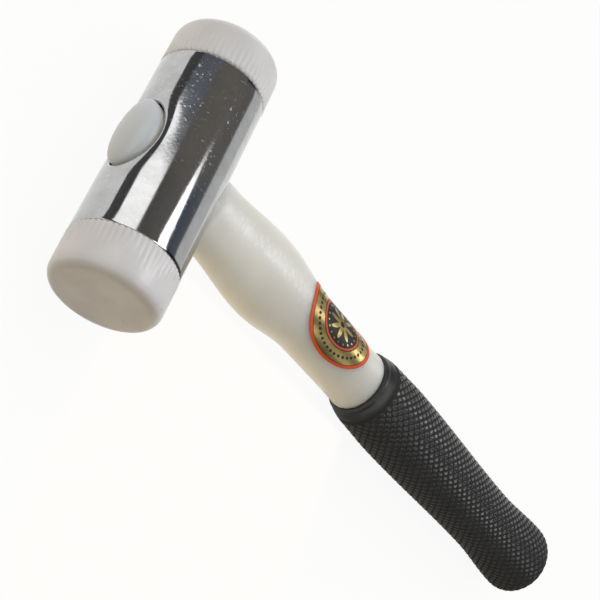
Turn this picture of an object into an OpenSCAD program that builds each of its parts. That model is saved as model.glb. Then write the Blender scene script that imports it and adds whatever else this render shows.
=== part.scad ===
// Soft face hammer, lying on its side as it would on a bench.
// +X runs along the handle to the butt, Y is the axis of the head, +Z is up.
// Every piece is drawn with the middle of the head at the origin and is then laid down.

/* [Main sizes] */
// Length of the whole hammer, from the domed end to the butt
overall_len = 283.6; // [250:0.2:330]
// Diameter of a nylon face at its fluted rim
face_d = 38; // [34:0.2:44]

/* [Head] */
// Length of the metal head, end to end
head_len = 71.4; // [66:0.2:90]
// Rounding of the two end edges of the head
head_edge_r = 0.8; // [0.3:0.1:1.5]
// Width of the eye at its mouths, along the head
eye_w = 26.8; // [22:0.2:30]
// Thickness of the eye at its mouths, across the head
eye_t = 18.2; // [14:0.2:22]
// How far the eye draws in at its waist, on each side
eye_draw = 1.4; // [0.4:0.1:2.5]
// How far the mouths of the eye are rounded back, on each side
eye_lip = 0.9; // [0.2:0.1:1.5]

/* [Faces] */
// How far the rims of the faces stand proud of the head, on each side
face_proud = 0.1; // [0:0.05:0.4]
// Thickness of a nylon face, from the head to the striking end
face_t = 16.5; // [13:0.1:24]
// How much slimmer the striking end is, on each side
face_taper = 0.15; // [0:0.05:0.4]
// Rounding of the striking edge
face_edge_r = 4; // [1:0.1:6]
// Small chamfer where the rim meets the head
rim_chamfer = 0.4; // [0.1:0.1:1]
// Number of flutes round the rim
flute_count = 60; // [24:1:72]
// Depth of a flute at the head
flute_depth = 0.5; // [0.2:0.05:0.7]
// Length over which a flute fades out
flute_run = 10; // [5:0.5:11]
// Diameter of the screwed spigot behind a face
spigot_d = 20; // [14:0.5:24]
// Length of the spigot
spigot_len = 16; // [10:0.5:18]
// Chamfer on the spigot's end and on the socket's mouth
spigot_chamfer = 1.2; // [0.5:0.1:2]

/* [Handle] */
// Height of the domed end above the head
dome_rise = 3.4; // [2:0.1:6]
// Straight run of the handle below the head
root_run = 4; // [2:0.5:8]
// Share of the eye's rounded lower mouth that the handle fills as it leaves the head
root_share = 0.8; // [0:0.05:0.9]
// Place of the swell, as a share of the way from the root to the grip
swell_share = 0.33; // [0.2:0.01:0.45]
// Width of the swell, in line with the head
swell_w = 33.3; // [26:0.1:38]
// Thickness of the swell
swell_t = 24.4; // [20:0.1:30]
// Place of the neck, as a share of the way from the root to the grip
neck_share = 0.635; // [0.55:0.005:0.75]
// Width of the neck
neck_w = 24.5; // [22:0.1:28]
// Thickness of the neck
neck_t = 23.3; // [20:0.1:27]
// Length over which the neck flares to the shoulder that the grip butts against
shoulder_run = 6; // [4:0.5:14]
// Width of the shoulder
shoulder_w = 25.2; // [24:0.1:30]
// Thickness of the shoulder
shoulder_t = 23.6; // [22:0.1:28]
// Width of the tang inside the grip
tang_w = 23.6; // [18:0.2:25]
// Thickness of the tang inside the grip
tang_t = 21.6; // [17:0.2:23]
// How much the tang slims towards its end, on each side
tang_taper = 0.6; // [0:0.1:2]
// Length of the rounded end of the tang
tang_round = 6; // [3:0.5:9]

/* [Grip] */
// Length of the grip, from the shoulder to the butt
grip_len = 142.6; // [120:0.2:170]
// How far the rim of the sleeve stands proud of the shoulder
rim_proud = 0.8; // [0.3:0.1:1.5]
// Length of the smooth rounded collar
collar_run = 7; // [4:0.5:12]
// How much the collar rounds up from the rim
collar_rise = 1.8; // [0.5:0.1:2.5]
// Place of the palm swell, as a share of the grip's length
palm_share = 0.196; // [0.1:0.002:0.4]
// Width of the palm swell
palm_w = 32; // [30:0.1:38]
// Thickness of the palm swell
palm_t = 29.8; // [28:0.1:36]
// Place of the waist, as a share of the grip's length
waist_share = 0.712; // [0.55:0.002:0.8]
// Width of the waist
waist_w = 28.9; // [27:0.1:34]
// Thickness of the waist
waist_t = 27.1; // [25:0.1:32]
// Width of the flare near the butt
flare_w = 32.4; // [30:0.1:38]
// Thickness of the flare near the butt
flare_t = 30.3; // [28:0.1:37]
// Length of the rounded butt beyond the flare
butt_run = 9; // [5:0.5:16]
// Solid rubber between the end of the tang and the butt
butt_wall = 10; // [6:0.5:18]

/* [Label] */
// Place of the label's middle, as a share of the way from the root to the grip
label_share = 0.682; // [0.5:0.002:0.75]
// Length of the oval label along the handle
label_len = 37.5; // [24:0.5:44]
// Width of the oval label, measured round the handle
label_w = 28; // [16:0.5:32]
// Thickness of the label
label_thick = 0.2; // [0.1:0.05:0.4]
// Turn of the label round the handle, from straight up towards the rear face
label_turn = 14; // [0:1:40]

/* [Fits] */
// Gap round a spigot in its socket
spigot_gap = 0.1; // [0.05:0.05:0.3]
// Room between a spigot's end and the bottom of its socket
spigot_room = 1.5; // [0.5:0.1:3]
// Gap between the handle and the eye
eye_gap = 0.05; // [0.02:0.01:0.15]
// Gap between the grip and the tang
grip_gap = 0.05; // [0.02:0.01:0.15]
// Gap between the label and the handle
label_gap = 0.08; // [0.05:0.01:0.12]

/* [Hidden] */
$fn = 96;

// Depth at which a flute ends
flute_end = 0.06;
// Overrun of every cut past the face that it opens
over = 1;
// Sides of the oval sections, and how many sections each stretch has
sides = 40;
eye_steps = 7;
dome_steps = 8;
round_steps = 8;
collar_steps = 4;
tang_steps = 4;
label_rows = 22;
label_cols = 12;
// Length of handle and of grip between two sections
handle_pitch = 3.5;
grip_pitch = 5;
// Steepness of the rounded mouths of the eye
lip_power = 12;
// Fullness of the butt: 2 is an ellipse, more is fuller
butt_power = 2.2;

face_r = face_d / 2;
head_r = face_r - face_proud;
spigot_r = spigot_d / 2;
socket_r = spigot_r + spigot_gap;
socket_depth = spigot_len + spigot_room;
// Place where the mouth of the eye ends on the two sides of the round head
side_x = sqrt(pow(head_r, 2) - pow(eye_t / 2, 2));
dome_top = head_r + dome_rise;
butt_x = overall_len - dome_top;
root_x = head_r + root_run;
shoulder_x = butt_x - grip_len;
swell_x = mix(root_x, shoulder_x, swell_share);
neck_x = mix(root_x, shoulder_x, neck_share);
label_x = mix(root_x, shoulder_x, label_share);
palm_x = mix(shoulder_x, butt_x, palm_share);
waist_x = mix(shoulder_x, butt_x, waist_share);
flare_x = butt_x - butt_run;
tang_x = butt_x - butt_wall;
// Mean radius of the neck, which the label wraps
neck_r = (neck_w + neck_t) / 4;

// A slow start and a slow stop between 0 and 1
function ease(t) = (1 - cos(180 * t)) / 2;
function mix(a, b, t) = a + (b - a) * t;
// The rise of a quarter ellipse between 0 and 1
function quarter(t) = sqrt(1 - pow(1 - t, 2));
function evenly(from, to, pitch) =
    let (count = max(2, ceil((to - from) / pitch)))
    [for (k = [1 : count]) mix(from, to, k / count)];

// Half width and half thickness at x on a run of stations [x, half width, half thickness]
function along(stations, x, i = 0) =
    i == len(stations) - 1 || x <= stations[i][0]
        ? [stations[i][1], stations[i][2]]
    : x < stations[i + 1][0]
        ? let (t = ease((x - stations[i][0]) / (stations[i + 1][0] - stations[i][0])))
          [mix(stations[i][1], stations[i + 1][1], t), mix(stations[i][2], stations[i + 1][2], t)]
    : along(stations, x, i + 1);

// The hourglass of the eye, from its waist in the middle to its two mouths
function eye_half(x) =
    let (draw = eye_draw * (1 - pow(min(abs(x), head_r) / head_r, 2)))
    [eye_w / 2 - draw, eye_t / 2 - draw];
function lip_half(x) =
    [eye_lip * pow(min(abs(x), head_r) / head_r, lip_power),
     eye_lip * pow(min(abs(x), side_x) / side_x, lip_power)];
eye_xs = [for (k = [-eye_steps : eye_steps]) side_x * sin(90 * k / eye_steps)];

handle_stations = [
    [root_x, eye_w / 2 + eye_lip * root_share, eye_t / 2 + eye_lip * root_share],
    [swell_x, swell_w / 2, swell_t / 2],
    [neck_x, neck_w / 2, neck_t / 2],
    [shoulder_x - shoulder_run, neck_w / 2, neck_t / 2],
    [shoulder_x, shoulder_w / 2, shoulder_t / 2]];

grip_stations = [
    [shoulder_x + collar_run, shoulder_w / 2 + rim_proud + collar_rise,
        shoulder_t / 2 + rim_proud + collar_rise],
    [palm_x, palm_w / 2, palm_t / 2],
    [waist_x, waist_w / 2, waist_t / 2],
    [flare_x, flare_w / 2, flare_t / 2]];

// Sections of the domed end, which fills the mouth of the eye and rises above the head
dome_sections = [for (k = [dome_steps - 1 : -1 : 1])
    let (x = mix(side_x, dome_top, sin(90 * k / dome_steps)),
         mouth = eye_half(head_r),
         side = eye_half(side_x),
         long = x <= head_r ? eye_half(x)[0]
             : mouth[0] * sqrt(1 - pow((x - head_r) / dome_rise, 2)),
         short = side[1] * sqrt(1 - pow((x - side_x) / (dome_top - side_x), 2)))
    [-x, long - eye_gap, short - eye_gap]];

eye_sections = [for (x = eye_xs) [x, eye_half(x)[0] - eye_gap, eye_half(x)[1] - eye_gap]];

shaft_sections = [for (x = concat([head_r], evenly(head_r, root_x, handle_pitch),
                                  evenly(root_x, shoulder_x, handle_pitch)))
    let (half = along(handle_stations, x))
    [x, half[0], half[1]]];

// Sections of the tang, or of the bore round it, with a gap on every side
function tang_sections(gap) = concat(
    [for (k = [0 : tang_steps])
        let (t = k / tang_steps)
        [mix(shoulder_x + gap, tang_x - tang_round, t),
            tang_w / 2 - tang_taper * t + gap, tang_t / 2 - tang_taper * t + gap]],
    [for (k = [1 : round_steps - 1])
        let (t = sin(90 * k / round_steps))
        [mix(tang_x - tang_round, tang_x + gap, t),
            (tang_w / 2 - tang_taper + gap) * sqrt(1 - t * t),
            (tang_t / 2 - tang_taper + gap) * sqrt(1 - t * t)]]);

collar_sections = [for (k = [0 : collar_steps])
    let (t = 1 - cos(90 * k / collar_steps), rise = rim_proud + collar_rise * quarter(t))
    [shoulder_x + grip_gap + (collar_run - grip_gap) * t, shoulder_w / 2 + rise, shoulder_t / 2 + rise]];

sleeve_sections = [for (x = evenly(shoulder_x + collar_run, flare_x, grip_pitch))
    let (half = along(grip_stations, x))
    [x, half[0], half[1]]];

butt_sections = [for (k = [1 : round_steps - 1])
    let (t = sin(90 * k / round_steps), full = pow(1 - pow(t, butt_power), 1 / butt_power))
    [flare_x + butt_run * t, flare_w / 2 * full, flare_t / 2 * full]];

outer_sections = concat(collar_sections, sleeve_sections, butt_sections);

// The hammer lies on the rims of its faces and tips down until the grip touches the bench
rest_r = face_r;
lie_angle = min([for (s = outer_sections) asin(rest_r / norm([s[0], s[2]])) - atan2(s[2], s[0])]);
middle_x = (butt_x - dome_top) / 2 * cos(lie_angle);

function backwards(list) = [for (k = [len(list) - 1 : -1 : 0]) list[k]];

// A skin through oval sections, closed by a fan to a point on the axis at each end
module loft(sections, first_x, last_x) {
    rings = len(sections);
    points = concat(
        [for (s = sections, k = [0 : sides - 1])
            [s[0], s[1] * cos(360 * k / sides), s[2] * sin(360 * k / sides)]],
        [[first_x, 0, 0], [last_x, 0, 0]]);
    function at(ring, k) = ring * sides + k % sides;
    skin = [for (ring = [0 : rings - 2], k = [0 : sides - 1], half = [0, 1])
        half == 0
            ? [at(ring, k), at(ring + 1, k + 1), at(ring, k + 1)]
            : [at(ring, k), at(ring + 1, k), at(ring + 1, k + 1)]];
    first_end = [for (k = [0 : sides - 1]) [rings * sides, at(0, k), at(0, k + 1)]];
    last_end = [for (k = [0 : sides - 1]) [rings * sides + 1, at(rings - 1, k + 1), at(rings - 1, k)]];
    polyhedron(points, concat(skin, first_end, last_end));
}

// Puts a piece drawn round the middle of the head into the lying pose
module lie_down() {
    translate([-middle_x, 0, rest_r])
        rotate([0, lie_angle, 0])
            children();
}

// Turns a shape drawn along +Z from the end of the head to face along -Y (-1) or +Y (1)
module at_head_end(way) {
    translate([0, way * head_len / 2, 0])
        rotate([-way * 90, 0, 0])
            children();
}

module head_outline() {
    translate([0, -head_len / 2])
        square([head_r - head_edge_r, head_len]);
    translate([0, -head_len / 2 + head_edge_r])
        square([head_r, head_len - 2 * head_edge_r]);
    for (way = [-1, 1])
        translate([head_r - head_edge_r, way * (head_len / 2 - head_edge_r)])
            circle(head_edge_r);
}

module socket() {
    translate([0, 0, -socket_depth])
        cylinder(r = socket_r, h = socket_depth + over);
    translate([0, 0, -spigot_chamfer])
        cylinder(r1 = socket_r, r2 = socket_r + spigot_chamfer, h = spigot_chamfer);
}

module eye_cut() {
    mouth = [for (x = [head_r, head_r + over]) [x, eye_w / 2 + eye_lip, eye_t / 2 + eye_lip]];
    cut = concat(
        [for (s = backwards(mouth)) [-s[0], s[1], s[2]]],
        [for (x = eye_xs) [x, eye_half(x)[0] + lip_half(x)[0], eye_half(x)[1] + lip_half(x)[1]]],
        mouth);
    loft(cut, -head_r - over, head_r + over);
}

module head_body() {
    color([0.78, 0.79, 0.8])
        lie_down()
            difference() {
                rotate([-90, 0, 0])
                    rotate_extrude()
                        head_outline();
                for (way = [-1, 1])
                    at_head_end(way) socket();
                eye_cut();
            }
}

// One flute: a slender cone let into the rim, which fades out towards the striking end
module flute() {
    translate([face_r, 0, -over])
        cylinder(r1 = mix(flute_depth, flute_end, -over / flute_run), r2 = flute_end,
                 h = flute_run + over, $fn = 24);
}

module face_outline() {
    tip_r = face_r - face_taper;
    polygon([
        [0, -spigot_len],
        [spigot_r - spigot_chamfer, -spigot_len],
        [spigot_r, -spigot_len + spigot_chamfer],
        [spigot_r, 0],
        [face_r - rim_chamfer, 0],
        [face_r, rim_chamfer],
        [tip_r, face_t - face_edge_r],
        [tip_r - face_edge_r, face_t],
        [0, face_t]]);
    translate([tip_r - face_edge_r, face_t - face_edge_r])
        circle(face_edge_r);
}

module face() {
    difference() {
        rotate_extrude()
            face_outline();
        for (k = [0 : flute_count - 1])
            rotate([0, 0, 360 * (k + 0.5) / flute_count])
                flute();
    }
}

module front_face() {
    color([0.86, 0.85, 0.83])
        lie_down()
            at_head_end(-1) face();
}

module rear_face() {
    color([0.86, 0.85, 0.83])
        lie_down()
            at_head_end(1) face();
}

module handle() {
    color([0.84, 0.83, 0.78])
        lie_down()
            loft(concat(dome_sections, eye_sections, shaft_sections, tang_sections(0)), -dome_top, tang_x);
}

module grip() {
    color([0.12, 0.12, 0.12])
        lie_down()
            loft(concat(backwards(tang_sections(grip_gap)), outer_sections), tang_x + grip_gap, butt_x);
}

// A thin oval sheet wrapped round the neck of the handle
module label_sheet() {
    ring = 2 * (label_cols + 1);
    function spot(row, col, lift) =
        let (turn = 180 * (row + 0.5) / label_rows,
             x = label_x - label_len / 2 * cos(turn),
             half = along(handle_stations, x),
             reach = label_w / 2 * sin(turn) * (2 * col / label_cols - 1),
             a = label_turn + 180 / PI * reach / neck_r)
        [x, (half[0] + lift) * sin(a), (half[1] + lift) * cos(a)];
    points = [for (row = [0 : label_rows - 1], k = [0 : ring - 1])
        k <= label_cols
            ? spot(row, k, label_gap + label_thick)
            : spot(row, ring - 1 - k, label_gap)];
    function at(row, k) = row * ring + k % ring;
    skin = [for (row = [0 : label_rows - 2], k = [0 : ring - 1], half = [0, 1])
        half == 0
            ? [at(row, k), at(row, k + 1), at(row + 1, k + 1)]
            : [at(row, k), at(row + 1, k + 1), at(row + 1, k)]];
    first_end = [for (k = [0 : label_cols - 1], half = [0, 1])
        half == 0
            ? [at(0, k), at(0, ring - 1 - k), at(0, k + 1)]
            : [at(0, k + 1), at(0, ring - 1 - k), at(0, ring - 2 - k)]];
    last = label_rows - 1;
    last_end = [for (k = [0 : label_cols - 1], half = [0, 1])
        half == 0
            ? [at(last, k), at(last, k + 1), at(last, ring - 1 - k)]
            : [at(last, k + 1), at(last, ring - 2 - k), at(last, ring - 1 - k)]];
    polyhedron(points, concat(skin, first_end, last_end));
}

module label() {
    color([0.8, 0.66, 0.35])
        lie_down()
            label_sheet();
}

head_body();
front_face();
rear_face();
handle();
grip();
label();
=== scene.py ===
# %% [markdown]
# # Soft face hammer
# The hammer lies on its side: a chromed head with a nylon face screwed into each end, a milky plastic
# handle moulded through the eye of the head, a knurled rubber grip and a foil label.
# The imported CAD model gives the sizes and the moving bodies. This script models each piece again with
# Blender's own tools, because mirror chrome, a knurl and screw threads need finer and smoother meshes.

import bmesh
import bpy
import math
from mathutils import Matrix, Vector


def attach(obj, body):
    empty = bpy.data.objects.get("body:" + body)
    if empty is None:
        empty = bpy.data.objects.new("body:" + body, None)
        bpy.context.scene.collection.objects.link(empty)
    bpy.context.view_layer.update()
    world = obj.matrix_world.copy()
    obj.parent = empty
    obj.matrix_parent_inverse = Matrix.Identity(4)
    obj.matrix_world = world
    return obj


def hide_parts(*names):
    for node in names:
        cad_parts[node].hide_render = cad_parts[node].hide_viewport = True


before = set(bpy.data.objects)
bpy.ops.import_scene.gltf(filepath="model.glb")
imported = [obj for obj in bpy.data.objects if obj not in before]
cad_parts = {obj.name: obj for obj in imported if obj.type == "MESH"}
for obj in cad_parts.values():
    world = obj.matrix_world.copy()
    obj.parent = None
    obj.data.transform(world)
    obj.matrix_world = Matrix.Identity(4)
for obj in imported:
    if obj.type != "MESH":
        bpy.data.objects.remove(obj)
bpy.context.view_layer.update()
print("CAD nodes:", ", ".join(sorted(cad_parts)))

# %% [markdown]
# ## The hammer's own frame
# Every piece is drawn with the middle of the head at the origin: X runs along the handle, Y along the head
# and Z up. That keeps all sections round one axis. The matrix `lying` then tips a finished piece by the
# small angle at which the real hammer rests on its faces and its grip, and takes it to its place in the CAD
# model.

# %% Set the main sizes and the lying pose
MM = 0.001
face_r = 19 * MM
head_r = 18.9 * MM
head_half = 35.7 * MM
head_from_middle = 119.486 * MM
lie_angle = math.radians(0.8747)
lying = Matrix.Translation((-head_from_middle, 0, face_r)) @ Matrix.Rotation(lie_angle, 4, "Y")
print("lies at", round(math.degrees(lie_angle), 2), "degrees")

# %% [markdown]
# ## The chromed head
# The real head is a turned and plated bar with an oval eye for the handle. A mirror shows every facet, so
# cutting the eye with a boolean would leave ragged shading round it. Instead half of the skin is modelled
# flat, like sheet metal, and rolled up later. It starts with the mouth of the eye, a circle that is
# extruded outwards ring by ring. Each ring rises a little, because the real lip is soft and lies in a
# shallow dish, and this makes the reflections bulge round the eye.

# %% Draw the mouth of the eye on a flat sheet
mouth_u = 10.1 * MM
mouth_y = 13.45 * MM
lip_r = 0.9 * MM
dish_depth = 0.5 * MM
dish_reach = 7.5 * MM
lip_steps = [0, 0.08, 0.2, 0.4, 0.65, 0.9, 1.3, 1.8, 2.4, 3.1, 3.9, 4.8, 5.7, 6.6, 7.5]


def start_piece():
    """Leave nothing selected, because an operator acts on all that is."""
    bpy.ops.object.select_all(action="DESELECT")


def name_piece(name):
    """Name the new object and start to edit its mesh."""
    piece = bpy.context.object
    piece.name = piece.data.name = name
    bpy.ops.object.mode_set(mode="EDIT")
    return piece


def sink(reach):
    """How far the skin has sunk at a distance from the hole: a round lip in a shallow dish."""
    lip = lip_r - math.sqrt(lip_r ** 2 - (lip_r - min(reach, lip_r)) ** 2)
    return lip + dish_depth * (1 - reach / dish_reach) ** 3


start_piece()
bpy.ops.mesh.primitive_circle_add(vertices=256, radius=MM)
head = name_piece("head_shell")
bpy.ops.transform.resize(value=(mouth_u / MM, mouth_y / MM, 1))
bpy.ops.transform.translate(value=(0, 0, -sink(0)))
before = 0
for step in lip_steps[1:]:
    reach = step * MM
    bpy.ops.mesh.extrude_region_move()
    bpy.ops.transform.resize(value=((mouth_u + reach) / (mouth_u + before),
                                    (mouth_y + reach) / (mouth_y + before), 1), center_override=(0, 0, 0))
    bpy.ops.transform.translate(value=(0, 0, sink(before) - sink(reach)))
    before = reach
print("lip sinks", round(sink(0) / MM, 2), "mm")

# %% [markdown]
# ### The frame of the sheet
# The oval mouth has to meet a rectangle, because only a rectangle rolls up into a round bar. A plane gives
# it, and only its edges are kept. Bridge Edge Loops then fills the space between the two outlines with even
# quads, which a fill by one large face would not do. `pick` selects edges in code, by their place.

# %% Bridge the mouth to the frame of the sheet
band_half = 26 * MM
band_u = math.pi * head_r / 2
TINY = 0.01 * MM


def pick(kind, test):
    """In edit mode, select only the vertices, edges or faces that pass the test."""
    bpy.ops.mesh.select_mode(type=kind)
    bpy.ops.mesh.select_all(action="DESELECT")
    shape = bmesh.from_edit_mesh(bpy.context.object.data)
    for item in {"VERT": shape.verts, "EDGE": shape.edges, "FACE": shape.faces}[kind]:
        if test(item):
            item.select_set(True)
    shape.select_flush_mode()
    bmesh.update_edit_mesh(bpy.context.object.data)


def all_verts(edge, test):
    """Whether the places of all vertices of an edge pass the test."""
    return all(test(v.co) for v in edge.verts)


def past_dish(co):
    """Whether a place on the sheet is at the outer end of the dish or beyond it."""
    return (co.x / (mouth_u + dish_reach)) ** 2 + (co.y / (mouth_y + dish_reach)) ** 2 > 0.9


bpy.ops.mesh.primitive_plane_add(size=1)
bpy.ops.transform.resize(value=(2 * band_u, 2 * band_half, 1))
bpy.ops.mesh.delete(type="ONLY_FACE")
pick("EDGE", lambda e: e.is_wire)
bpy.ops.mesh.subdivide(number_cuts=63)
pick("EDGE", lambda e: e.is_wire or e.is_boundary and all_verts(e, past_dish))
bpy.ops.mesh.bridge_edge_loops(number_cuts=20, interpolation="LINEAR")
print(len(bmesh.from_edit_mesh(head.data).faces), "faces from the mouth to the frame")

# %% [markdown]
# ### The ends of the head
# Beyond the eye the real head is a plain cylinder whose edges are broken by a small radius. On the flat
# sheet that is simple: each end of the frame is extruded along Y, and its last steps follow a quarter of a
# circle down. A bevel after rolling would have to cope with the seam.

# %% Run the sheet out to the ends and round their edges
edge_r = 1 * MM
for way in (-1, 1):
    pick("EDGE", lambda e: e.is_boundary and all_verts(e, lambda co: way * co.y > band_half - TINY))
    run = [(band_half + share * (head_half - edge_r - band_half), 0) for share in (0.33, 0.66, 1)]
    run += [(head_half - edge_r * (1 - math.sin(a)), -edge_r * (1 - math.cos(a)))
            for a in [math.radians(15 * k) for k in range(1, 7)]]
    here = (band_half, 0)
    for spot in run:
        bpy.ops.mesh.extrude_region_move(
            TRANSFORM_OT_translate={"value": (0, way * (spot[0] - here[0]), spot[1] - here[1])})
        here = spot
print("sheet is", round(2 * here[0] / MM, 1), "mm long")

# %% [markdown]
# ### Rolling
# Now the sheet is rolled: the distance across it becomes an angle round the head, and its height is added to
# the radius. It covers half of the bar, with one mouth of the eye, so a copy that is turned by half a turn
# makes the other half, and merging the doubles closes the seams.

# %% Roll the sheet round the head and copy it for the other side
bpy.ops.object.mode_set(mode="OBJECT")
for v in head.data.vertices:
    turn = v.co.x / head_r
    r = head_r + v.co.z
    v.co = (-r * math.cos(turn), v.co.y, r * math.sin(turn))
bpy.ops.object.mode_set(mode="EDIT")
bpy.ops.mesh.select_all(action="SELECT")
bpy.ops.mesh.duplicate()
bpy.ops.transform.rotate(value=math.pi, orient_axis="Y", center_override=(0, 0, 0))
bpy.ops.mesh.select_all(action="SELECT")
bpy.ops.mesh.remove_doubles(threshold=TINY)
print(len(bmesh.from_edit_mesh(head.data).verts), "vertices in the rolled skin")

# %% [markdown]
# ### Finishing a piece
# Every piece ends in the same way: doubles are merged, faces are turned outwards, it is shaded smooth up to
# an angle, and it is laid down. Applying the place leaves the object at the origin, with its place in its
# mesh, so that textures on Object coordinates stay where they are when a body moves.

# %% Write the helpers that finish a piece


def close_up(gap=0.004 * MM):
    """Merge the doubles, turn the faces outwards and leave edit mode."""
    bpy.ops.mesh.select_mode(type="VERT")
    bpy.ops.mesh.select_all(action="SELECT")
    bpy.ops.mesh.remove_doubles(threshold=gap)
    bpy.ops.mesh.normals_make_consistent(inside=False)
    bpy.ops.object.mode_set(mode="OBJECT")


def hold(piece):
    """Select one piece alone and make it the active one."""
    start_piece()
    piece.select_set(True)
    bpy.context.view_layer.objects.active = piece


def smooth_by(piece, degrees):
    """Shade smooth, but for edges that are sharper than an angle."""
    hold(piece)
    bpy.ops.object.shade_smooth_by_angle(angle=math.radians(degrees))


def lay_down(piece, turned=Matrix.Identity(4)):
    """Put a piece from its own frame into the lying pose, with its place in its mesh."""
    hold(piece)
    piece.matrix_world = lying @ turned
    bpy.ops.object.transform_apply(location=True, rotation=True, scale=True)
    print(piece.name, len(piece.data.polygons), "faces")


print("finishing steps:", close_up.__name__, smooth_by.__name__, lay_down.__name__)

# %% [markdown]
# ### The eye and the sockets
# The two mouths are bridged straight through the head, where the handle hides the wall. At each end the
# open edge is extruded inwards, then along the axis, to the socket that the nylon face screws into. Drilling
# the socket with a boolean would work as well, but this way the mesh stays one clean skin.

# %% Join the two mouths and sink the sockets
socket_wall_r = 10.95 * MM
socket_mouth_r = 11.6 * MM
socket_end = 18.2 * MM
socket_rim_r = 15 * MM
socket_chamfer = 0.8 * MM
pick("EDGE", lambda e: e.is_boundary and all_verts(e, lambda co: abs(co.y) < head_half - 2 * edge_r))
bpy.ops.mesh.bridge_edge_loops(number_cuts=6, interpolation="LINEAR")
for way in (-1, 1):
    pick("EDGE", lambda e: e.is_boundary and all_verts(e, lambda co: way * co.y > head_half - TINY))
    r, y = head_r - edge_r, head_half
    for next_r, next_y in [(socket_rim_r, head_half), (socket_mouth_r, head_half),
                           (socket_wall_r, head_half - socket_chamfer), (socket_wall_r, socket_end)]:
        bpy.ops.mesh.extrude_region_move(TRANSFORM_OT_translate={"value": (0, way * (next_y - y), 0)})
        bpy.ops.transform.resize(value=(next_r / r, 1, next_r / r), center_override=(0, way * next_y, 0))
        r, y = next_r, next_y
    bpy.ops.mesh.edge_face_add()
close_up()
smooth_by(head, 40)
lay_down(head)

# %% [markdown]
# ## Outlines and modifiers
# Turned parts start as half of their outline. It is drawn from one vertex, which is extruded from point to
# point, as by hand. A modifier is then added, set and applied in one go, so that only plain meshes are left.

# %% Write the helpers for outlines and modifiers


def draw_outline(points):
    """Add one vertex and extrude it from point to point."""
    bpy.ops.mesh.primitive_plane_add(size=MM)
    piece = name_piece("outline")
    bpy.ops.mesh.merge(type="CENTER")
    bpy.ops.transform.translate(value=points[0])
    for a, b in zip(points, points[1:]):
        bpy.ops.mesh.extrude_region_move(TRANSFORM_OT_translate={"value": Vector(b) - Vector(a)})
    return piece


def apply_modifier(piece, kind, **settings):
    """Add a modifier with some of its settings and apply it."""
    hold(piece)
    bpy.ops.object.modifier_add(type=kind)
    modifier = piece.modifiers[-1]
    for key, value in settings.items():
        setattr(modifier, key, value)
    bpy.ops.object.modifier_apply(modifier=modifier.name)


print("modelling helpers:", draw_outline.__name__, apply_modifier.__name__)

# %% [markdown]
# ## Screw threads
# The spigots of the faces and the sockets of the head are threaded. One pitch of the thread is drawn as an
# open outline, and the Screw modifier winds it up. A curve with a bevel could do it too, but its flanks are
# harder to set. The ends are drawn in to the root, as a thread runs out on a real part. The crests of the
# spigot stay inside the bore, so that the face can also slide straight out in a pose.

# %% Write how a thread is wound
pitch = 2.5 * MM
thread_turns = 6


def wind_thread(name, root_r, crest_r, first_z):
    """A thread up the Z axis from first_z."""
    start_piece()
    shares = [(0, root_r), (0.12, root_r), (0.42, crest_r), (0.58, crest_r), (0.88, root_r), (1, root_r)]
    thread = draw_outline([(r, 0, first_z + share * pitch) for share, r in shares])
    thread.name = thread.data.name = name
    bpy.ops.object.mode_set(mode="OBJECT")
    apply_modifier(thread, "SCREW", axis="Z", angle=2 * math.pi, screw_offset=pitch,
                   iterations=thread_turns, steps=48, render_steps=48, use_merge_vertices=True)
    top = first_z + (thread_turns + 1) * pitch
    for v in thread.data.vertices:
        run_out = min((v.co.z - first_z) / pitch - 0.5, (top - v.co.z) / pitch - 0.5, 1)
        r = math.hypot(v.co.x, v.co.y)
        wanted = root_r + (r - root_r) * max(run_out, 0)
        v.co.x, v.co.y = v.co.x * wanted / r, v.co.y * wanted / r
    return thread


print("thread pitch", pitch / MM, "mm,", thread_turns, "turns")

# %% [markdown]
# ## The nylon faces
# Each face is turned from nylon rod: a flat striking end with a well rounded edge, and 60 shallow flutes
# that fade out from the rim, for a firm hold when it is unscrewed. A displaced cylinder would blur them.
# Here one sixtieth is spun from half of the outline and one flute is pressed into it.

# %% Spin one sector and press its flute
flute_count = 60
flute_depth = 0.38 * MM
flute_run = 10 * MM
face_t = 16.49 * MM
face_edge_r = 4 * MM
tip_r = 18.85 * MM
spigot_len = 16 * MM
spigot_chamfer = 1.2 * MM
core_r = 9.3 * MM
sector = 2 * math.pi / flute_count
rounding = [(tip_r - face_edge_r * (1 - math.sin(a)), face_t - face_edge_r * (1 - math.cos(a)))
            for a in [math.radians(12.86 * k) for k in range(8)]]
wall = [(face_r - (face_r - tip_r) * z / 12.5, z * MM) for z in (11.4, 10, 8.6, 7.2, 5.8, 4.4, 3, 1.6, 0.4)]
outline = [(r * MM, face_t) for r in (0, 3, 7, 11)] + rounding + wall
outline += [(face_r - 0.35 * MM, 0), (14 * MM, 0), (core_r, 0), (core_r, -spigot_len + spigot_chamfer),
            (core_r - spigot_chamfer, -spigot_len), (4 * MM, -spigot_len), (0, -spigot_len)]
start_piece()
front = draw_outline([(r, 0, z) for r, z in outline])
front.name = front.data.name = "front_cap"
bpy.ops.mesh.select_all(action="SELECT")
bpy.ops.mesh.spin(steps=8, angle=sector, center=(0, 0, 0), axis=(0, 0, 1))
bpy.ops.object.mode_set(mode="OBJECT")
for v in front.data.vertices:
    r = math.hypot(v.co.x, v.co.y)
    across = abs(abs(math.atan2(v.co.y, v.co.x)) / sector - 0.5) * 2
    if r > 17 * MM and v.co.z < flute_run and across < 0.8:
        pressed = flute_depth * (1 - v.co.z / flute_run) * math.cos(across * math.pi / 1.6) ** 2
        v.co.x, v.co.y = v.co.x * (1 - pressed / r), v.co.y * (1 - pressed / r)
print(len(front.data.polygons), "faces in one sector")

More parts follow.
